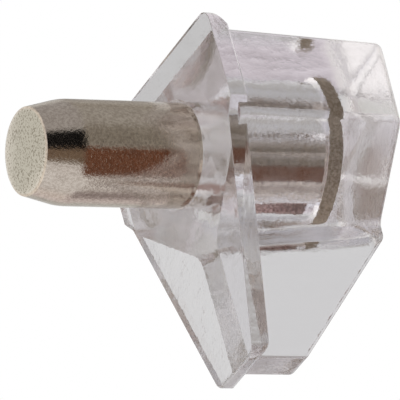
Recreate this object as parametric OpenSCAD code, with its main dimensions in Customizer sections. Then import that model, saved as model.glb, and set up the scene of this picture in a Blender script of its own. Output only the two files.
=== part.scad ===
// Shelf support: a steel pin held in a clear plastic bracket.
// Millimetres. The origin lies on the pin's axis, in the face that touches the cabinet side.
// +X runs from the cabinet side out under the shelf, and +Z points up.

/* [Pin] */
// Diameter of the pin, to suit the shelf hole
pin_d = 5; // [3:0.1:6]
// Length of pin that stands out of the bracket
pin_out = 8.1; // [5:0.1:14]
// Depth of the pin's inner end in the bracket
pin_in = 7.05; // [5:0.05:8]
// Diameter of the flat on the pin's tip
tip_d = 4.1; // [2:0.1:4.5]
// Half angle of the taper behind the tip
tip_angle = 13.5; // [5:0.5:30]
// Radius of the blend between the taper and the barrel
tip_blend = 3.4; // [0.5:0.1:6]
// Width of the broken edge round the tip's flat
tip_edge = 0.12; // [0.05:0.01:0.4]
// How far the collar at the inner end stands proud of the barrel
collar_h = 0.3; // [0.1:0.05:0.5]
// Length of the collar
collar_l = 0.75; // [0.3:0.05:1.5]
// Width of the waist round the barrel where it passes through the plate, which grips it there
groove_w = 1.0; // [0.7:0.05:2]
// Depth of the waist
groove_d = 0.2; // [0.05:0.05:0.4]

/* [Plate] */
// Thickness of the plate against the cabinet side
plate_t = 0.94; // [0.8:0.02:2]
// Width of the plate's upper, square part
plate_w = 11.65; // [10:0.05:16]
// Height of the plate's top above the pin's axis
plate_top = 4.55; // [4:0.05:8]
// Depth of the plate's foot below the pin's axis
plate_foot = 11.8; // [9:0.05:18]
// Radius of the plate's top corners
top_r = 0.7; // [0.3:0.1:2]
// Width of the foot that the plate tapers to
foot_w = 3.9; // [2.6:0.02:6]
// Radius of the foot's corners
foot_r = 0.8; // [0.1:0.05:1.3]
// Radius of the foot's rounded rear edge
foot_back_r = 0.7; // [0.1:0.05:0.75]
// Depth below the axis at which the square part ends
square_end = 0.26; // [0:0.02:1]
// Width of the shoulder between the square part and the taper
shoulder_w = 0.58; // [0.1:0.02:1]
// Height of the shoulder
shoulder_h = 0.68; // [0.1:0.02:1]

/* [Ledge and boss] */
// Height of the shelf seat above the pin's axis
seat_h = 3.63; // [3.2:0.01:6]
// Distance of the ledge's end from the cabinet side
ledge_l = 9.97; // [8.5:0.01:16]
// Width of the ledge at the plate
ledge_w = 11.2; // [8:0.02:14]
// Angle by which each side of the ledge draws in towards its end
side_taper = 4.8; // [1:0.1:8]
// Angle by which the ledge's end leans in below the seat
end_lean = 2.5; // [0.5:0.1:8]
// Angle by which the boss's underside rises towards its end
under_rise = 5.8; // [3:0.1:9]
// Radius of the ledge's outer corners
ledge_r = 0.6; // [0.2:0.02:2]
// Radius of the edge between the seat and the ledge's end
seat_end_r = 0.5; // [0.1:0.05:1]
// Depth below the axis at which the boss's upright sides end at the plate
side_end = 0.93; // [0.2:0.01:2]
// Radius of the edge between the boss's sides and its underside
side_r = 0.6; // [0.1:0.1:2]
// Depth of the boss's underside where it meets the web at the plate
keel_depth = 5.1; // [4.2:0.1:8]

/* [Web] */
// Thickness of the web under the boss
web_t = 1.64; // [1:0.02:3]
// Depth below the axis at which the web's sloping edge starts at the boss's end
web_top = 4.73; // [4.2:0.01:8]
// Depth of the web's lower end below the pin's axis
web_depth = 11.4; // [9:0.05:18]
// Length of the web along its lower end, from the cabinet side
web_foot = 3.5; // [2:0.1:8]
// Radius of the web's lower corner
web_r = 0.5; // [0.1:0.1:1]
// Radius of the fillets between the boss and the web
web_fillet = 1.5; // [0.3:0.1:2]

/* [Lip] */
// Thickness of the lip's upper edge
lip_t = 0.3; // [0.1:0.05:0.6]
// Height of the lip's bevel above the seat
lip_foot = 0; // [0:0.05:0.5]

/* [Hidden] */
$fn = 96;
clear_plastic = [0.86, 0.85, 0.88, 0.5];
nickel = [0.72, 0.69, 0.66];
// How far a drawing runs past the others that cut it
margin = 1;

module bracket() {
    color(clear_plastic)
    difference() {
        union() {
            plate();
            arm();
        }
        pin_shape();
    }
}

// Stands a drawing of Y and Z upright and gives it its thickness along +X
module along_x(length) {
    rotate([90, 0, 90]) linear_extrude(length) children();
}

// Stands a drawing of X and Z upright, centred on the bracket's middle plane
module across_y(width) {
    translate([0, width / 2, 0]) rotate([90, 0, 0]) linear_extrude(width) children();
}

// Both sides of a symmetric outline, from the points of its right side, top to bottom
function both_sides(right) = concat(right, [for (i = [len(right) - 1:-1:0]) [-right[i][0], right[i][1]]]);

// Points of an arc about c from angle a to angle b
function arc(c, r, a, b, n = 8) = [for (i = [0:n]) c + r * [cos(a + (b - a) * i / n), sin(a + (b - a) * i / n)]];

module plate_outline() {
    half = plate_w / 2;
    taper_start = [half - shoulder_w, -square_end - shoulder_h];
    taper = atan2(taper_start[0] - foot_w / 2, plate_foot + taper_start[1]);
    polygon(both_sides(concat(
        arc([half - top_r, plate_top - top_r], top_r, 90, 0),
        [[half, -square_end], taper_start],
        arc([foot_w / 2 - foot_r, -plate_foot + foot_r], foot_r, -taper, -90)
    )));
}

module plate() {
    intersection() {
        along_x(plate_t) plate_outline();
        // Seen along Y: the lip's bevel behind the shelf's edge and the rounded foot
        across_y(plate_w) polygon(concat(
            [[0, plate_top], [lip_t, plate_top], [plate_t, seat_h + lip_foot]],
            arc([plate_t - foot_back_r, foot_back_r - plate_foot], foot_back_r, 0, -90),
            [[0, -plate_foot]]
        ));
    }
}

// The ledge, the boss round the pin and the web, cut from three drawings seen along X, Y and Z
module arm() {
    difference() {
        arm_block();
        for (side = [0, 1]) mirror([0, side, 0]) side_edge();
    }
}

module arm_block() {
    // The tilted drawing starts this far back, so that the web still reaches the plate at its foot
    run_in = web_depth * tan(under_rise) + margin;
    intersection() {
        translate([plate_t, 0, 0]) rotate([0, -under_rise, 0]) translate([-run_in, 0, 0])
            along_x(run_in + ledge_l) arm_section();
        across_y(plate_w) arm_side();
        translate([0, 0, -web_depth - margin]) linear_extrude(web_depth + seat_h + 2 * margin) arm_plan();
    }
}

// Seen along X: upright sides, the underside that closes in to the web, and the fillets beside it
module arm_section() {
    half_web = web_t / 2;
    half = ledge_w / 2;
    slope = under_slope();
    reach = web_fillet * tan(45 - slope / 2);
    polygon(both_sides(concat(
        [[half, seat_h + margin], [half, -side_end]],
        arc([half_web + web_fillet, -keel_depth - reach], web_fillet, 90 + slope, 180),
        [[half_web, -web_depth - 2 * margin]]
    )));
}

// Angle of the boss's underside across the bracket, where it meets the plate
function under_slope() = atan2(keel_depth - side_end, (ledge_w - web_t) / 2);

// What is taken off the edge between the boss's side and its underside to round it
module side_edge() {
    slope = under_slope();
    rise = atan(tan(under_rise) - tan(slope) * tan(side_taper));
    reach = side_r * tan(45 - slope / 2);
    translate([plate_t, ledge_w / 2, -side_end]) rotate([0, -rise, -side_taper])
        translate([-margin, 0, 0]) along_x(ledge_l + margin) polygon(concat(
            arc([-side_r, reach], side_r, 0, slope - 90),
            [[-reach * cos(slope) + margin * sin(slope), -reach * sin(slope) - margin * cos(slope)]],
            [[margin, -margin], [margin, reach]]
        ));
}

// Seen along Y: the flat seat, the end that leans in, and the web's slope down to the foot
module arm_side() {
    web_end = ledge_l - (seat_h + web_top) * tan(end_lean);
    slope = atan2(web_depth - web_top, web_end - web_foot);
    seat_end = ledge_l - seat_end_r * tan(45 + end_lean / 2);
    polygon(concat(
        [[plate_t / 2, seat_h]],
        arc([seat_end, seat_h - seat_end_r], seat_end_r, 90, -end_lean),
        [[web_end, -web_top]],
        arc([web_foot - web_r * tan(slope / 2), -web_depth + web_r], web_r, slope - 90, -90),
        [[plate_t / 2, -web_depth]]
    ));
}

// Seen along Z: the sides draw in a little from the plate to the rounded outer corners
module arm_plan() {
    end_half = ledge_w / 2 - (ledge_l - plate_t) * tan(side_taper);
    corner = [ledge_l - ledge_r, end_half - ledge_r];
    polygon(concat(
        [[plate_t / 2, -ledge_w / 2]],
        [for (p = arc(corner, ledge_r, 90 - side_taper, 0)) [p[0], -p[1]]],
        arc(corner, ledge_r, 0, 90 - side_taper),
        [[plate_t / 2, ledge_w / 2]]
    ));
}

// The whole pin, turned about X
module pin_shape() {
    r = pin_d / 2;
    flat_r = tip_d / 2;
    // Where the taper would meet the barrel if nothing blended them
    taper_l = (r - flat_r) / tan(tip_angle);
    blend_l = tip_blend * tan(tip_angle / 2);
    blend_x = -pin_out + taper_l + blend_l;
    rotate([0, 90, 0]) rotate_extrude() polygon(concat(
        [[0, -pin_out], [flat_r - tip_edge, -pin_out], [flat_r + tip_edge * sin(tip_angle), -pin_out + tip_edge]],
        arc([r - tip_blend, blend_x], tip_blend, -tip_angle, 0, 5),
        [[r, 0], [r - groove_d, groove_w / 2], [r, groove_w]],
        [[r, pin_in - collar_l], [r + collar_h, pin_in - collar_l], [r + collar_h, pin_in], [0, pin_in]]
    ));
}

module pin() {
    color(nickel) pin_shape();
}

bracket();
pin();
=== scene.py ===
import bpy
import math
from mathutils import Matrix, Vector


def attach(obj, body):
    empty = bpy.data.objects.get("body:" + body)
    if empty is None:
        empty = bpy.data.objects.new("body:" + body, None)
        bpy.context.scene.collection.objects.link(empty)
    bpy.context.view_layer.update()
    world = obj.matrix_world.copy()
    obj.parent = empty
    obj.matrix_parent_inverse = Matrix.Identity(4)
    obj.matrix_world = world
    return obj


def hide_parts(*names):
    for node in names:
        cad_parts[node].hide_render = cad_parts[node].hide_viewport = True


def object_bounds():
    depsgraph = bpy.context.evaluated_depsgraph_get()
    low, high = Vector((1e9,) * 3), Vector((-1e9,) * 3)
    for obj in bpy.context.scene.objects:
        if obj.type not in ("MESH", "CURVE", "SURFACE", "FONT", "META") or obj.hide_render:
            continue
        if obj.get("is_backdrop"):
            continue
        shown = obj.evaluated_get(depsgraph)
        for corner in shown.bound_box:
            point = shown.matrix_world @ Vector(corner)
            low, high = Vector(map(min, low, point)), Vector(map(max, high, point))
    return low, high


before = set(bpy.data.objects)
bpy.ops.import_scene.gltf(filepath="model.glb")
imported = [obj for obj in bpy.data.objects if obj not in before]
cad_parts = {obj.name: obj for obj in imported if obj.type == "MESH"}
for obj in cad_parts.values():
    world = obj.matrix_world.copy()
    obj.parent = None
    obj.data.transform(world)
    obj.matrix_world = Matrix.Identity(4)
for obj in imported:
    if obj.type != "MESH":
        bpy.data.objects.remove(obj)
cad_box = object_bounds()

MM = 0.001

# ------------------------------------------------ sizes in millimetres, angles in degrees
# The pin: its barrel, how far it stands out of the plate and how deep its inner end lies
PIN_R = 2.5
PIN_OUT = 8.1
PIN_IN = 7.05
# The flat on its tip, the taper behind that, and the blend into the barrel
TIP_R = 2.05
TIP_ANGLE = 13.5
TIP_BLEND = 3.4
# The tip's faint dome, where the dome ends inside TIP_R, and how far back its broken edge reaches
DOME_R = 14
DOME_EDGE = 0.2
TIP_RIM = 0.2
# The knurled collar round its inner end
COLLAR_H = 0.3
COLLAR_L = 0.75
# The collar bites this far into the plastic, which lies wet against it
COLLAR_BITE = 0.01
# The plastic doesn't wet the barrel, which leaves this hair of air round it
AIR_GAP = 0.02
# Underneath, a strip of the barrel still touches: where it lies along x and round the pin, how far
# it stands out, and the length of the ramp at each end
TOUCH_X = (2.6, 5.7)
TOUCH_ANGLE = (-101, -81)
TOUCH_H = 0.03
TOUCH_RAMP = 0.1
# The broken edge at the bore's mouth
MOUTH = 0.12

# The plate, with its top corners, its rounded foot and the shoulders where it starts to taper
PLATE_T = 0.94
PLATE_W = 11.65
PLATE_TOP = 4.55
PLATE_FOOT = 11.8
TOP_R = 0.7
FOOT_W = 3.9
FOOT_R = 0.8
FOOT_BACK_R = 0.7
SQUARE_END = 0.26
SHOULDER_W = 0.58
SHOULDER_H = 0.68
# Thickness of the lip's upper edge
LIP_T = 0.3

# The ledge and the boss under it
SEAT_H = 3.63
LEDGE_L = 9.97
LEDGE_W = 11.2
SIDE_TAPER = 4.8
END_LEAN = 2.5
SIDE_END = 0.93
KEEL_DEPTH = 5.1
UNDER_RISE = 5.8
# How far inside the web's faces the boss's own keel ends
KEEL_INSIDE = 0.12

# The web and its fillets
WEB_T = 1.64
WEB_TOP = 4.73
WEB_DEPTH = 11.4
WEB_FOOT = 3.5
WEB_R = 0.5
WEB_TIP_R = 0.6
WEB_FILLET = 1.5

# How far each moulded edge is rounded, measured on the faces beside it
END_ROUND = 0.6
UNDER_END_ROUND = 0.45
SEAT_END_ROUND = 0.53
SIDE_ROUND = 0.27
SEAT_SIDE_ROUND = 0.3
SHOULDER_ROUND = 0.3
SMALL_ROUND = 0.12
# Faces that meet at less than these angles are parts of one curve, and stay as they are
BODY_CURVE = 20
PLATE_CURVE = 25
WEB_CURVE = 45

# A drawing that is cut or covered by others runs this far past them
MARGIN = 2
# A form runs this far past one that it only has to break through
BREAK_OUT = 0.1
# A form that joins another stops this far short of its faces, so that no two coincide
SHY = 0.01
# A point this near to a plane counts as on it
NEAR = 0.01
# A face looks along an axis where its normal has at least this much of it
ALIGNED = 0.99

# Angle of the boss's underside across the bracket, and where the web ends under the boss
UNDER_SLOPE = math.degrees(math.atan2(KEEL_DEPTH - SIDE_END, (LEDGE_W - WEB_T) / 2))
WEB_END = LEDGE_L - (SEAT_H + WEB_TOP) * math.tan(math.radians(END_LEAN))

# The camera: its angles, its distance, and how far it is moved to the right and up in its own view
CAMERA_AZIMUTH = -33.525
CAMERA_ELEVATION = -27.611
CAMERA_ROLL = -15.635
CAMERA_AWAY = 330
CAMERA_RIGHT = 1.147
CAMERA_UP = -2.078
# Its sensor, and its focal length and the frame's width in pixels
SENSOR = 36
FOCAL_PIXELS = 7049.019
FRAME_PIXELS = 400


# ------------------------------------------------ small helpers
def linear(hex_colour):
    """An sRGB hex value as the linear RGBA that Blender's sockets take."""
    rgb = [int(hex_colour[i : i + 2], 16) / 255 for i in (0, 2, 4)]
    return [c / 12.92 if c <= 0.04045 else ((c + 0.055) / 1.055) ** 2.4 for c in rgb] + [1.0]


def node(tree, kind, links=None, **settings):
    """Adds a node, sets its properties and sockets, and links what feeds it."""
    n = tree.nodes.new(kind)
    for key, value in settings.items():
        if key.startswith("in_"):
            name = key[3:].replace("_", " ")
            n.inputs[int(name) if name.isdigit() else name].default_value = value
        else:
            setattr(n, key, value)
    for socket, source in (links or {}).items():
        tree.links.new(source, n.inputs[socket])
    return n


def only(obj):
    """Makes obj the one selected and active object."""
    if bpy.context.object and bpy.context.object.mode != "OBJECT":
        bpy.ops.object.mode_set(mode="OBJECT")
    bpy.ops.object.select_all(action="DESELECT")
    obj.select_set(True)
    bpy.context.view_layer.objects.active = obj
    return obj


def apply(obj, kind, **settings):
    """Adds a modifier, sets it and applies it."""
    only(obj)
    m = obj.modifiers.new(kind.lower(), kind)
    for key, value in settings.items():
        setattr(m, key, value)
    bpy.ops.object.modifier_apply(modifier=m.name)


def arc(cx, cy, r, start, end, steps):
    """Points of an arc about (cx, cy), with its angles in degrees."""
    turns = [math.radians(start + (end - start) * i / steps) for i in range(steps + 1)]
    return [(cx + r * math.cos(t), cy + r * math.sin(t)) for t in turns]


def mirrored(right):
    """A symmetric outline, from the points of its right side."""
    return right + [(-y, z) for y, z in reversed(right)]


def drawn(name, points):
    """A line through points in millimetres: a plane merged to one corner, drawn out to each."""
    bpy.ops.object.select_all(action="DESELECT")
    bpy.ops.mesh.primitive_plane_add(size=MM)
    obj = only(bpy.context.object)
    obj.name = obj.data.name = name
    bpy.ops.object.mode_set(mode="EDIT")
    bpy.ops.mesh.select_all(action="SELECT")
    bpy.ops.mesh.merge(type="CENTER")
    points = [Vector(p) * MM for p in points]
    bpy.ops.transform.translate(value=points[0])
    for a, b in zip(points, points[1:]):
        bpy.ops.mesh.extrude_vertices_move(TRANSFORM_OT_translate={"value": b - a})
    bpy.ops.mesh.select_all(action="SELECT")
    return obj


def slab(name, outline, lift, depth):
    """A closed outline, stood up by lift(), filled and extruded along depth, in millimetres."""
    obj = drawn(name, [lift(*p) for p in outline])
    bpy.ops.mesh.edge_face_add()
    bpy.ops.mesh.extrude_region_move(TRANSFORM_OT_translate={"value": Vector(depth) * MM})
    bpy.ops.mesh.select_all(action="SELECT")
    bpy.ops.mesh.normals_make_consistent(inside=False)
    bpy.ops.object.mode_set(mode="OBJECT")
    return obj


def turned(name, profile):
    """A closed profile of (radius, x) in millimetres, spun about the pin's axis."""
    obj = drawn(name, [(x, 0, r) for r, x in profile])
    bpy.ops.mesh.spin(steps=144, angle=2 * math.pi, center=(0, 0, 0), axis=(1, 0, 0))
    bpy.ops.mesh.select_all(action="SELECT")
    bpy.ops.mesh.remove_doubles(threshold=1e-8)
    bpy.ops.mesh.normals_make_consistent(inside=False)
    bpy.ops.object.mode_set(mode="OBJECT")
    return obj


def slice_off(obj, point, normal):
    """Cuts with a plane, drops what lies on the normal's side and closes the cut."""
    only(obj)
    bpy.ops.object.mode_set(mode="EDIT")
    bpy.ops.mesh.select_all(action="SELECT")
    bpy.ops.mesh.bisect(
        plane_co=Vector(point) * MM, plane_no=Vector(normal).normalized(),
        use_fill=True, clear_outer=True, threshold=1e-7,
    )
    bpy.ops.object.mode_set(mode="OBJECT")


def round_edges(obj, width_of, segments=6):
    """Rounds edges: width_of(a, b, n1, n2) gives each one's width in millimetres, or 0, from its
    ends and the normals of its faces."""
    mesh = obj.data
    faces_at = {}
    for p in mesh.polygons:
        for key in p.edge_keys:
            faces_at.setdefault(key, []).append(p.normal.copy())
    widths = []
    for e in mesh.edges:
        normals = faces_at.get(tuple(sorted(e.vertices)), [])
        a, b = (mesh.vertices[i].co / MM for i in e.vertices)
        widths.append(width_of(a, b, *normals) if len(normals) == 2 else 0.0)
    most = max(widths)
    weights = mesh.attributes.new("bevel_weight_edge", "FLOAT", "EDGE")
    for i, w in enumerate(widths):
        weights.data[i].value = w / most
    apply(
        obj, "BEVEL", width=most * MM, segments=segments, limit_method="WEIGHT",
        offset_type="OFFSET", use_clamp_overlap=True, miter_outer="MITER_ARC",
        harden_normals=False,
    )
    left = obj.data.attributes.get("bevel_weight_edge")
    if left:
        obj.data.attributes.remove(left)


def combine(obj, other, operation):
    """Adds the other solid, takes it away or keeps what both share, and then deletes it."""
    apply(obj, "BOOLEAN", object=other, operation=operation, solver="EXACT")
    bpy.data.objects.remove(other)


def smooth(obj, angle):
    """Smooth shading up to an angle, with the large flat faces kept truly flat."""
    only(obj)
    bpy.ops.object.shade_smooth_by_angle(angle=math.radians(angle))
    apply(obj, "WEIGHTED_NORMAL", mode="FACE_AREA", weight=100, keep_sharp=True)


# ------------------------------------------------ the pin
def pin_profile(gap=0.0, mouth=0.0, grip=0.0):
    """Half outline of the pin from tip to inner end. For the bore it is a gap larger, with a
    broken edge at its mouth."""
    taper = math.radians(TIP_ANGLE)
    blend_x = -PIN_OUT + (PIN_R - TIP_R) / math.tan(taper) + TIP_BLEND * math.tan(taper / 2)
    start, end, collar_x = -PIN_OUT - gap, PIN_IN + gap, PIN_IN - COLLAR_L - gap
    barrel, collar = PIN_R + gap, PIN_R + COLLAR_H + grip
    dome = [(r, start + r * r / 2 / DOME_R) for r in (0, 0.5, 1.0, 1.5, TIP_R - DOME_EDGE)]
    broken_edge = [
        (TIP_R - 0.08, start + 0.14), (TIP_R, start + 0.165),
        (TIP_R + TIP_RIM * math.tan(taper), start + TIP_RIM),
    ]
    if mouth:
        # The bore opens through the plate's face
        middle = [
            (barrel, -BREAK_OUT), (barrel + mouth, -BREAK_OUT), (barrel + mouth, 0),
            (barrel, mouth),
        ]
    else:
        # Rings for the strip that touches
        first, last = TOUCH_X
        middle = [(barrel, x) for x in (first, first + TOUCH_RAMP, last - TOUCH_RAMP, last)]
    return [
        *dome, *broken_edge,
        *arc(PIN_R - TIP_BLEND, blend_x, TIP_BLEND + gap, -TIP_ANGLE, 0, 8),
        *middle,
        (barrel, collar_x), (collar, collar_x), (collar, end), (0, end),
    ]


def make_pin():
    """The turned pin, with the strip underneath that touches the plastic swelled out a little."""
    pin = turned("plated_pin", pin_profile())
    first, last = TOUCH_X[0] + TOUCH_RAMP / 2, TOUCH_X[1] - TOUCH_RAMP / 2
    for v in pin.data.vertices:
        x, y, z = v.co / MM
        angle = math.degrees(math.atan2(z, y))
        v.select = first < x < last and TOUCH_ANGLE[0] < angle < TOUCH_ANGLE[1]
    for part in (*pin.data.edges, *pin.data.polygons):
        part.select = False
    bpy.ops.object.mode_set(mode="EDIT")
    swell = 1 + TOUCH_H / PIN_R
    bpy.ops.transform.resize(value=(1, swell, swell), center_override=(0, 0, 0))
    bpy.ops.object.mode_set(mode="OBJECT")
    smooth(pin, angle=25)
    return pin


# ------------------------------------------------ the bracket
def tilted(y, z, x=0.0):
    """A point of the arm's section, whose underside climbs away from the plate."""
    turn = Matrix.Rotation(-math.radians(UNDER_RISE), 3, "Y")
    return Vector((PLATE_T, 0, 0)) + turn @ Vector((x, y, z))


def along_arm(name, outline):
    """A section of the arm, run from behind the plate to past the arm's end."""
    run_in = 3
    depth = tilted(0, 0, LEDGE_L + 2 * run_in) - tilted(0, 0)
    return slab(name, outline, lambda y, z: tilted(y, z, -run_in), depth)


def make_body():
    """The block round the pin: upright sides that taper, a level seat, an underside like a keel."""
    half, keel_half = LEDGE_W / 2, WEB_T / 2 - KEEL_INSIDE
    keel = -KEEL_DEPTH - (WEB_T / 2 - keel_half) * math.tan(math.radians(UNDER_SLOPE))
    outline = mirrored([(half, SEAT_H + MARGIN), (half, -SIDE_END), (keel_half, keel)])
    body = along_arm("bracket_body", outline)
    lean, taper = math.radians(END_LEAN), math.radians(SIDE_TAPER)
    slice_off(body, (0, 0, SEAT_H), (0, 0, 1))
    slice_off(body, (PLATE_T / 2, 0, 0), (-1, 0, 0))
    slice_off(body, (LEDGE_L, 0, SEAT_H), (math.cos(lean), 0, -math.sin(lean)))
    for side in (-1, 1):
        slice_off(body, (PLATE_T, side * half, 0), (math.sin(taper), side * math.cos(taper), 0))

    def width_of(a, b, n1, n2):
        mid = (a + b) / 2
        in_plate, in_web = mid.x < PLATE_T / 2 + NEAR, abs(mid.y) < WEB_T and mid.z < 0
        if in_plate or in_web or n1.angle(n2) < math.radians(BODY_CURVE):
            return 0.0
        end = any(n.x > ALIGNED for n in (n1, n2))
        if any(n.z > ALIGNED for n in (n1, n2)):
            return SEAT_END_ROUND if end else SEAT_SIDE_ROUND
        if end:
            upright = any(abs(n.y) > ALIGNED for n in (n1, n2))
            return END_ROUND if upright else UNDER_END_ROUND
        return SIDE_ROUND

    round_edges(body, width_of)
    return body


def make_web():
    """The triangular web that stiffens the underside."""
    top = -KEEL_DEPTH + MARGIN
    slope = math.degrees(math.atan2(WEB_DEPTH - WEB_TOP, WEB_END - WEB_FOOT))
    run, climb = math.cos(math.radians(slope)), math.sin(math.radians(slope))
    foot = WEB_R * math.tan(math.radians(slope / 2))
    tip = WEB_TIP_R * math.tan(math.radians(45 - slope / 2))
    tip_x = WEB_END - tip * run - WEB_TIP_R * climb
    tip_z = -WEB_TOP - tip * climb + WEB_TIP_R * run
    profile = [
        (PLATE_T / 2, top), (PLATE_T / 2, -WEB_DEPTH),
        *arc(WEB_FOOT - foot, WEB_R - WEB_DEPTH, WEB_R, -90, slope - 90, 5),
        *arc(tip_x, tip_z, WEB_TIP_R, slope - 90, -END_LEAN, 5),
        (WEB_END + (WEB_TOP + top) * math.tan(math.radians(END_LEAN)), top),
    ]
    profile = [(x - (SHY if x > WEB_FOOT else 0), z) for x, z in profile]
    web = slab("bracket_web", profile, lambda x, z: (x, -WEB_T / 2, z), (0, WEB_T, 0))

    def width_of(a, b, n1, n2):
        return SMALL_ROUND if n1.angle(n2) > math.radians(WEB_CURVE) else 0.0

    round_edges(web, width_of, 4)
    return web


def make_fillets():
    """The soft hollow on each side of the web, where it leaves the underside."""
    # The hollow is sunk a hair into both faces that it joins
    half_web, sunk = WEB_T / 2, 0.006
    reach = WEB_FILLET * math.tan(math.radians(45 - UNDER_SLOPE / 2))
    centre = (half_web + WEB_FILLET - sunk, sunk - KEEL_DEPTH - reach)
    fillets = along_arm("bracket_fillets", mirrored([
        (half_web, MARGIN - KEEL_DEPTH), (half_web + 1, 1 - KEEL_DEPTH),
        *arc(*centre, WEB_FILLET, 90 + UNDER_SLOPE, 180, 10),
        (half_web / 2, -KEEL_DEPTH - reach),
    ]))
    lean = math.radians(END_LEAN)
    slice_off(fillets, (PLATE_T / 2, 0, 0), (-1, 0, 0))
    slice_off(fillets, (LEDGE_L - 2 * SHY, 0, SEAT_H), (math.cos(lean), 0, -math.sin(lean)))

    def width_of(a, b, n1, n2):
        hollow = all(abs(p.y) > half_web - NEAR and p.z < 0 for p in (a, b))
        return UNDER_END_ROUND if hollow and any(n.x > ALIGNED for n in (n1, n2)) else 0.0

    round_edges(fillets, width_of)
    web_edge = (WEB_DEPTH - WEB_TOP, 0, WEB_FOOT - WEB_END)
    slice_off(fillets, (WEB_FOOT, 0, SHY - WEB_DEPTH), web_edge)
    return fillets


def make_plate():
    """The thin plate against the cabinet side: drawn from the front, and cut to its side view."""
    half = PLATE_W / 2
    shoulder = (half - SHOULDER_W, -SQUARE_END - SHOULDER_H)
    taper = math.degrees(math.atan2(shoulder[0] - FOOT_W / 2, PLATE_FOOT + shoulder[1]))
    outline = mirrored([
        *arc(half - TOP_R, PLATE_TOP - TOP_R, TOP_R, 90, 0, 6),
        (half, -SQUARE_END), shoulder,
        *arc(FOOT_W / 2 - FOOT_R, -PLATE_FOOT + FOOT_R, FOOT_R, -taper, -90, 6),
    ])
    side_view = [
        (0, PLATE_TOP), (0, -PLATE_FOOT),
        *arc(PLATE_T - FOOT_BACK_R, FOOT_BACK_R - PLATE_FOOT, FOOT_BACK_R, -90, 0, 6),
        (PLATE_T, SEAT_H), (LIP_T, PLATE_TOP),
    ]
    plate = slab("bracket_plate", outline, lambda y, z: (0, y, z), (PLATE_T, 0, 0))
    wider = 20
    profile = slab("plate_profile", side_view, lambda x, z: (x, -wider / 2, z), (0, wider, 0))
    combine(plate, profile, "INTERSECT")

    def width_of(a, b, n1, n2):
        through, half_shoulder = abs(a.x - b.x) > PLATE_T / 2, SHOULDER_H / 2
        if through and abs(a.z + SQUARE_END + half_shoulder) < half_shoulder + 5 * NEAR:
            return SHOULDER_ROUND
        return SMALL_ROUND if n1.angle(n2) > math.radians(PLATE_CURVE) else 0.0

    round_edges(plate, width_of, 4)
    return plate


def make_bracket():
    """The clear bracket: plate, body, web and fillets in one, with the bore taken out."""
    bracket = make_plate()
    for part in (make_body(), make_web(), make_fillets()):
        combine(bracket, part, "UNION")
    bore = turned("bore", pin_profile(AIR_GAP, mouth=MOUTH, grip=-COLLAR_BITE))
    combine(bracket, bore, "DIFFERENCE")
    only(bracket)
    bpy.ops.object.mode_set(mode="EDIT")
    bpy.ops.mesh.select_all(action="SELECT")
    bpy.ops.mesh.remove_doubles(threshold=2e-7)
    bpy.ops.mesh.dissolve_limited(angle_limit=math.radians(0.3))
    bpy.ops.object.mode_set(mode="OBJECT")
    bracket.name = "clear_bracket"
    smooth(bracket, angle=31)
    return bracket


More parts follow.
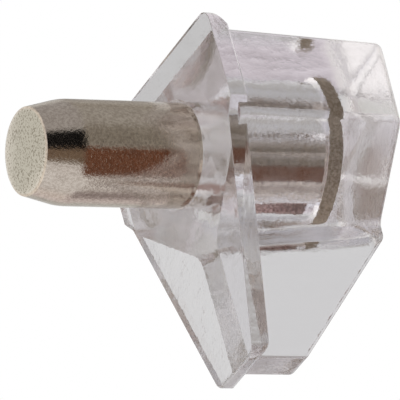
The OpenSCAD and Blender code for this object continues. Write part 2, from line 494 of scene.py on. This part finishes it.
# ------------------------------------------------ materials
def clear_polycarbonate():
    """Clear polycarbonate as it leaves the mould: bright, but wavy and grainy, so that what lies
    behind it swims."""
    m = bpy.data.materials.new("clear_polycarbonate_moulded")
    m.use_nodes = True
    t = m.node_tree
    shader = t.nodes["Principled BSDF"]
    shader.inputs["IOR"].default_value = 1.585
    shader.inputs["Transmission Weight"].default_value = 1.0
    place = node(t, "ShaderNodeTexCoord").outputs["Object"]
    along, across, high = node(t, "ShaderNodeSeparateXYZ", {0: place}).outputs
    # The far end of the ledge is left as the mould's spark-eroded steel makes it
    far_end = node(
        t, "ShaderNodeMapRange", {0: along},
        in_1=(LEDGE_L - 0.75) * MM, in_2=(LEDGE_L - 0.45) * MM,
    ).outputs[0]

    # Waves 1.5 mm long, as the melt cooled against the mould
    waves = node(
        t, "ShaderNodeTexNoise", {"Vector": place},
        in_Scale=1 / (1.5 * MM), in_Detail=1.0, in_Roughness=0.5,
    )
    swell = node(
        t, "ShaderNodeBump", {"Height": waves.outputs[0]}, in_Strength=1.0, in_Distance=0.05 * MM,
    )

    # Flow lines 3 mm long and 0.5 mm apart down the keel, and blotches of 0.5 mm on the far end
    lie = node(
        t, "ShaderNodeMapping", {0: place},
        in_Scale=(1 / (3 * MM), 1 / (0.8 * MM), 1 / (0.5 * MM)),
    )
    flow = node(
        t, "ShaderNodeTexNoise", {"Vector": lie.outputs[0]},
        in_Scale=1.0, in_Detail=1.0, in_Roughness=0.5,
    )
    keel = node(
        t, "ShaderNodeMapRange", {0: high}, interpolation_type="SMOOTHSTEP",
        in_1=-2.6 * MM, in_2=-3.4 * MM,
    )
    lines = node(
        t, "ShaderNodeMath", {0: flow.outputs[0], 1: keel.outputs[0]}, operation="MULTIPLY",
    )
    blotch = node(
        t, "ShaderNodeTexNoise", {"Vector": place},
        in_Scale=1 / (0.5 * MM), in_Detail=2.0, in_Roughness=0.5,
    )
    marks = node(
        t, "ShaderNodeMath", {0: blotch.outputs[0], 1: far_end, 2: lines.outputs[0]},
        operation="MULTIPLY_ADD",
    )
    flowed = node(
        t, "ShaderNodeBump", {"Height": marks.outputs[0], "Normal": swell.outputs[0]},
        in_Strength=1.0, in_Distance=0.03 * MM,
    )

    # The mould's polish, under 0.02 mm, drawn at 0.18 mm so that a 0.05 mm pixel can hold it
    grain = node(
        t, "ShaderNodeTexNoise", {"Vector": place},
        in_Scale=1 / (0.18 * MM), in_Detail=1.5, in_Roughness=0.6,
    )
    # It is twice as deep on the bore's wall behind the plate, which took the print of the steel
    off_axis = node(t, "ShaderNodeCombineXYZ", {1: across, 2: high})
    radius = node(t, "ShaderNodeVectorMath", {0: off_axis.outputs[0]}, operation="LENGTH")
    bore = node(
        t, "ShaderNodeMapRange", {0: radius.outputs[1]},
        in_1=(PIN_R + 0.7) * MM, in_2=(PIN_R + 0.4) * MM,
    )
    behind = node(t, "ShaderNodeMapRange", {0: along}, in_1=1.0 * MM, in_2=1.4 * MM)
    printed = node(
        t, "ShaderNodeMath", {0: bore.outputs[0], 1: behind.outputs[0]}, operation="MULTIPLY",
    )
    depth = node(
        t, "ShaderNodeMapRange", {0: printed.outputs[0]}, in_1=0.0, in_2=1.0, in_3=0.5, in_4=1.0,
    )
    height = node(
        t, "ShaderNodeMath", {0: grain.outputs[0], 1: depth.outputs[0]}, operation="MULTIPLY",
    )
    fine = node(
        t, "ShaderNodeBump", {"Height": height.outputs[0], "Normal": flowed.outputs[0]},
        in_Strength=1.0, in_Distance=0.02 * MM,
    )
    t.links.new(fine.outputs[0], shader.inputs["Normal"])

    # The far end is nearly matt, and it holds some of the light back
    matt = node(
        t, "ShaderNodeMapRange", {0: far_end}, in_1=0.0, in_2=1.0, in_3=0.1, in_4=0.2,
    )
    t.links.new(matt.outputs[0], shader.inputs["Roughness"])
    tone = node(
        t, "ShaderNodeMix", {0: far_end}, data_type="RGBA",
        in_6=linear("F7F6F9"), in_7=linear("E0DDDC"),
    )
    t.links.new(tone.outputs[2], shader.inputs["Base Color"])
    return m


def nickel_plate():
    """Bright nickel on turned steel: a warm grey mirror with a coarse grain, a rougher knurled
    collar coloured a darker brown, and a pitted tip."""
    m = bpy.data.materials.new("nickel_plate_on_steel")
    m.use_nodes = True
    t = m.node_tree
    shader = t.nodes["Principled BSDF"]
    shader.inputs["Metallic"].default_value = 1.0
    place = node(t, "ShaderNodeTexCoord").outputs["Object"]
    along, across, high = node(t, "ShaderNodeSeparateXYZ", {0: place}).outputs
    off_axis = node(t, "ShaderNodeCombineXYZ", {1: across, 2: high})
    radius = node(t, "ShaderNodeVectorMath", {0: off_axis.outputs[0]}, operation="LENGTH")

    # Plating grain of under 0.03 mm, drawn at 0.14 mm so that a 0.05 mm pixel can hold it
    grain = node(
        t, "ShaderNodeTexNoise", {"Vector": place},
        in_Scale=1 / (0.14 * MM), in_Detail=2.0, in_Roughness=0.7,
    )
    speck = node(
        t, "ShaderNodeMapRange", {0: grain.outputs[0]}, interpolation_type="SMOOTHSTEP",
        in_1=0.35, in_2=0.65,
    ).outputs[0]
    # Faint stains of about 1 mm
    stain = node(
        t, "ShaderNodeTexNoise", {"Vector": place},
        in_Scale=1 / (1.1 * MM), in_Detail=3.0, in_Roughness=0.6,
    )
    bright = node(
        t, "ShaderNodeMix", {0: stain.outputs[0]}, data_type="RGBA",
        in_6=linear("C9BDAE"), in_7=linear("E2D8C9"),
    )
    shade = node(
        t, "ShaderNodeMix", {0: stain.outputs[0]}, data_type="RGBA",
        in_6=linear("ADA092"), in_7=linear("CABFB0"),
    )
    plated = node(
        t, "ShaderNodeMix", {0: speck, 6: shade.outputs[2], 7: bright.outputs[2]},
        data_type="RGBA",
    )

    # The strip that touches the plastic is painted dark red-brown, a painted reflection, not a
    # stain
    touching = node(
        t, "ShaderNodeMapRange", {0: radius.outputs[1]}, interpolation_type="SMOOTHSTEP",
        in_1=(PIN_R + 0.012) * MM, in_2=(PIN_R + 0.022) * MM,
    )
    painted_red_reflection = node(
        t, "ShaderNodeMix", {0: speck}, data_type="RGBA",
        in_6=linear("6A4A44"), in_7=linear("C2A9A2"),
    )
    barrel = node(
        t, "ShaderNodeMix", {0: touching.outputs[0], 6: plated.outputs[2], 7: painted_red_reflection.outputs[2]},
        data_type="RGBA",
    )

    # The collar's knurl scatters what the barrel mirrors, and the collar is coloured a darker brown
    knurl = node(
        t, "ShaderNodeMapRange", {0: radius.outputs[1]}, interpolation_type="SMOOTHSTEP",
        in_1=(PIN_R + COLLAR_H - 0.06) * MM, in_2=(PIN_R + COLLAR_H - 0.01) * MM,
    ).outputs[0]
    darker_brown_collar = node(
        t, "ShaderNodeMix", {0: speck}, data_type="RGBA",
        in_6=linear("A08D77"), in_7=linear("CDBEA9"),
    )
    with_collar = node(
        t, "ShaderNodeMix", {0: knurl, 6: barrel.outputs[2], 7: darker_brown_collar.outputs[2]},
        data_type="RGBA",
    )
    polish = node(
        t, "ShaderNodeMapRange", {0: knurl}, in_1=0.0, in_2=1.0, in_3=0.15, in_4=0.6,
    )
    t.links.new(polish.outputs[0], shader.inputs["Roughness"])

    # The sheared tip plates greener and keeps its pits, 0.1 mm across
    pits = node(
        t, "ShaderNodeTexNoise", {"Vector": place},
        in_Scale=1 / (0.1 * MM), in_Detail=1.0, in_Roughness=0.5,
    )
    pitted = node(
        t, "ShaderNodeMapRange", {0: pits.outputs[0]}, interpolation_type="SMOOTHSTEP",
        in_1=0.3, in_2=0.52,
    )
    sheared = node(
        t, "ShaderNodeMix", {0: pitted.outputs[0]}, data_type="RGBA",
        in_6=linear("A39A8C"), in_7=linear("DBD5C9"),
    )
    tip = node(
        t, "ShaderNodeMath", {0: along}, operation="LESS_THAN", in_1=(0.145 - PIN_OUT) * MM,
    )
    tone = node(
        t, "ShaderNodeMix", {0: tip.outputs[0], 6: with_collar.outputs[2], 7: sheared.outputs[2]},
        data_type="RGBA",
    )
    t.links.new(tone.outputs[2], shader.inputs["Base Color"])

    # Handling has roughened it outside the plastic: inside, the grain is a quarter shallower
    handled = node(
        t, "ShaderNodeMapRange", {0: along},
        in_1=-0.2 * MM, in_2=0.2 * MM, in_3=1.0, in_4=0.75,
    )
    height = node(
        t, "ShaderNodeMath", {0: grain.outputs[0], 1: handled.outputs[0]}, operation="MULTIPLY",
    )
    relief = node(
        t, "ShaderNodeBump", {"Height": height.outputs[0]}, in_Strength=1.0,
        in_Distance=0.0105 * MM,
    )
    t.links.new(relief.outputs[0], shader.inputs["Normal"])
    return m


def dress(obj, material, cad_node):
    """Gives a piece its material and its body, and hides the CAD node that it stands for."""
    obj.data.materials.clear()
    obj.data.materials.append(material)
    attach(obj, "root")
    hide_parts(cad_node)


pin = make_pin()
bracket = make_bracket()
dress(pin, nickel_plate(), "pin")
dress(bracket, clear_polycarbonate(), "bracket")


# ------------------------------------------------ studio
def make_camera():
    """The camera looks up at the bracket from the pin's side, with a long lens."""
    azimuth = math.radians(CAMERA_AZIMUTH)
    elevation = math.radians(CAMERA_ELEVATION)
    roll = math.radians(CAMERA_ROLL)
    back = Vector((
        math.sin(azimuth) * math.cos(elevation),
        -math.cos(azimuth) * math.cos(elevation),
        math.sin(elevation),
    ))
    level = (-back).cross(Vector((0, 0, 1))).normalized()
    upright = level.cross(-back)
    right = math.cos(roll) * level + math.sin(roll) * upright
    up = -math.sin(roll) * level + math.cos(roll) * upright
    place = (CAMERA_AWAY * back + CAMERA_RIGHT * right + CAMERA_UP * up) * MM
    data = bpy.data.cameras.new("camera")
    data.sensor_width, data.lens = SENSOR, SENSOR * FOCAL_PIXELS / FRAME_PIXELS
    data.clip_start, data.clip_end = 0.01, 10
    camera = bpy.data.objects.new("camera", data)
    bpy.context.scene.collection.objects.link(camera)
    camera.matrix_world = Matrix((
        (right.x, up.x, back.x, place.x),
        (right.y, up.y, back.y, place.y),
        (right.z, up.z, back.z, place.z),
        (0, 0, 0, 1),
    ))
    bpy.context.scene.camera = camera


def hang(t, way, under, colour, *edges, glow=1.0):
    """Hangs one cloth of the tent over what is there. Each of its edges is (axis, where it ends,
    where it is whole), along the unit vector from the part."""
    seen = None
    for axis, end, whole in edges:
        side = node(
            t, "ShaderNodeMapRange", {0: way["xyz".index(axis)]},
            interpolation_type="SMOOTHSTEP", in_1=end, in_2=whole,
        ).outputs[0]
        if seen:
            side = node(t, "ShaderNodeMath", {0: seen, 1: side}, operation="MULTIPLY").outputs[0]
        seen = side
    lit = [c * glow for c in linear(colour)[:3]] + [1.0]
    return node(t, "ShaderNodeMix", {0: seen, 6: under}, data_type="RGBA", in_7=lit).outputs[2]


def tent_cloth():
    """The inside of a light tent: pale cloth behind and below, greyer above, a wooden bench in
    front and a dark gap for the lens."""
    m = bpy.data.materials.new("light_tent_cloth")
    m.use_nodes = True
    t = m.node_tree
    t.nodes.clear()
    place = node(t, "ShaderNodeTexCoord").outputs["Object"]
    line = node(t, "ShaderNodeVectorMath", {0: place}, operation="NORMALIZE")
    way = node(t, "ShaderNodeSeparateXYZ", {0: line.outputs[0]}).outputs
    # The grey roof and upper walls, as one slope of light
    slope = node(t, "ShaderNodeMapRange", {0: way[2]}, in_1=0.1, in_2=0.3)
    colour = node(
        t, "ShaderNodeMix", {0: slope.outputs[0]}, data_type="RGBA",
        in_6=linear("C9C9C8"), in_7=linear("D9D9D8"),
    ).outputs[2]
    # Below and behind: faintly violet to the right, brightest to the left
    colour = hang(t, way, colour, "E2DADE", ("z", -0.1, -0.3))
    colour = hang(t, way, colour, "F8F5F2", ("x", 0.32, 0.0))
    colour = hang(
        t, way, colour, "FFFBF8",
        ("x", -0.3, -0.45), ("y", 0.2, 0.4), ("z", -0.1, -0.3), glow=1.2,
    )
    colour = hang(t, way, colour, "E9E9EE", ("z", -0.6, -0.85))
    colour = hang(
        t, way, colour, "D9D8D2",
        ("x", -0.2, -0.35), ("y", 0.3, 0.5), ("z", 0.30, 0.34), ("z", 0.7, 0.6),
    )
    # Folds of greyer cloth low behind to the right, and far to the right
    colour = hang(
        t, way, colour, "A0969A", ("x", 0.28, 0.38), ("y", 0.38, 0.6), ("z", -0.36, -0.62),
    )
    colour = hang(
        t, way, colour, "968E8C", ("x", 0.495, 0.53), ("y", -0.35, -0.1), ("z", -0.2, -0.4),
    )
    colour = hang(t, way, colour, "8E756E", ("x", 0.70, 0.82), ("z", 0.1, -0.1))
    # Overhead
    colour = hang(
        t, way, colour, "A9A5A0", ("z", 0.55, 0.8), ("y", 0.45, 0.1), ("x", -0.6, -0.4),
    )
    colour = hang(
        t, way, colour, "ABA7A3",
        ("z", 0.5, 0.7), ("y", 0.85, 0.55), ("y", 0.2, 0.4), ("x", 0.36, 0.42),
    )
    # The room on the lens's side
    colour = hang(t, way, colour, "B0AEAC", ("y", 0.05, -0.25), ("z", -0.9, -0.75))
    colour = hang(t, way, colour, "DAD4D8", ("y", 0.05, -0.25), ("x", -0.12, -0.3))
    colour = hang(
        t, way, colour, "8F8B86",
        ("y", -0.5, -0.75), ("z", -0.3, -0.15), ("z", 0.6, 0.35), ("x", -0.3, -0.12),
    )
    colour = hang(
        t, way, colour, "B2B0B3",
        ("z", 0.2, 0.38), ("y", 0.45, 0.1), ("x", 0.41, 0.36), ("x", -0.6, -0.4),
    )
    colour = hang(
        t, way, colour, "A69F96",
        ("y", -0.6, -0.8), ("z", -0.3, -0.15), ("z", 0.6, 0.35), ("x", 0.45, 0.42),
        ("x", 0.36, 0.39),
    )
    colour = hang(
        t, way, colour, "EAE4E1", ("y", 0.0, -0.2), ("z", -0.15, -0.35), ("x", 0.58, 0.62),
    )
    # The bench's wooden edge, red where it is polished and dun where it is worn
    colour = hang(
        t, way, colour, "6F4632",
        ("y", -0.07, -0.16), ("z", -0.24, -0.32), ("z", -0.955, -0.915), ("x", 0.62, 0.56),
        ("x", 0.25, 0.33),
    )
    colour = hang(
        t, way, colour, "7C6A5B",
        ("y", -0.07, -0.16), ("z", -0.24, -0.32), ("z", -0.86, -0.72), ("x", 0.33, 0.25),
        ("x", -0.2, -0.1),
    )
    # The gap that the lens looks through
    colour = hang(
        t, way, colour, "0E0E10",
        ("y", -0.8, -0.88), ("z", -0.45, -0.38), ("z", 0.32, 0.22), ("x", 0.40, 0.31),
        ("x", -0.2, -0.1),
    )
    light = node(t, "ShaderNodeEmission", {"Color": colour}, in_Strength=1.0)
    node(t, "ShaderNodeOutputMaterial", {"Surface": light.outputs[0]})
    return m


def floor_paper():
    """Matt studio paper in a warm white."""
    m = bpy.data.materials.new("pale_floor_paper")
    m.use_nodes = True
    shader = m.node_tree.nodes["Principled BSDF"]
    shader.inputs["Base Color"].default_value = linear("F2F1EF")
    shader.inputs["Roughness"].default_value = 0.9
    return m


def make_studio():
    """A plain white room with a pale floor, and the light tent round the part."""
    tent_radius, floor_size, floor_height = 0.65, 6, -0.7
    scene = bpy.context.scene
    scene.view_settings.view_transform = "Standard"
    scene.cycles.max_bounces = 32
    scene.cycles.transmission_bounces = 32
    scene.cycles.glossy_bounces = 16
    world = bpy.data.worlds.new("soft_white_studio")
    scene.world = world
    world.use_nodes = True
    sky = world.node_tree.nodes["Background"]
    sky.inputs["Color"].default_value = (1, 1, 1, 1)
    sky.inputs["Strength"].default_value = 1.0
    # The lens looks in through the tent, so the camera doesn't see it, but metal and plastic do
    bpy.ops.mesh.primitive_uv_sphere_add(segments=48, ring_count=24, radius=tent_radius)
    tent = bpy.context.object
    tent.name = "light_tent"
    tent.data.materials.append(tent_cloth())
    tent.visible_camera = False
    tent.visible_shadow = False
    tent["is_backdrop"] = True
    bpy.ops.mesh.primitive_plane_add(size=floor_size, location=(0, 0, floor_height))
    floor = bpy.context.object
    floor.name = "floor"
    floor.data.materials.append(floor_paper())
    floor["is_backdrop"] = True


make_camera()
make_studio()

boxes = {"cad": cad_box, "visual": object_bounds()}
{k: [list(corner) for corner in b] for k, b in boxes.items()}
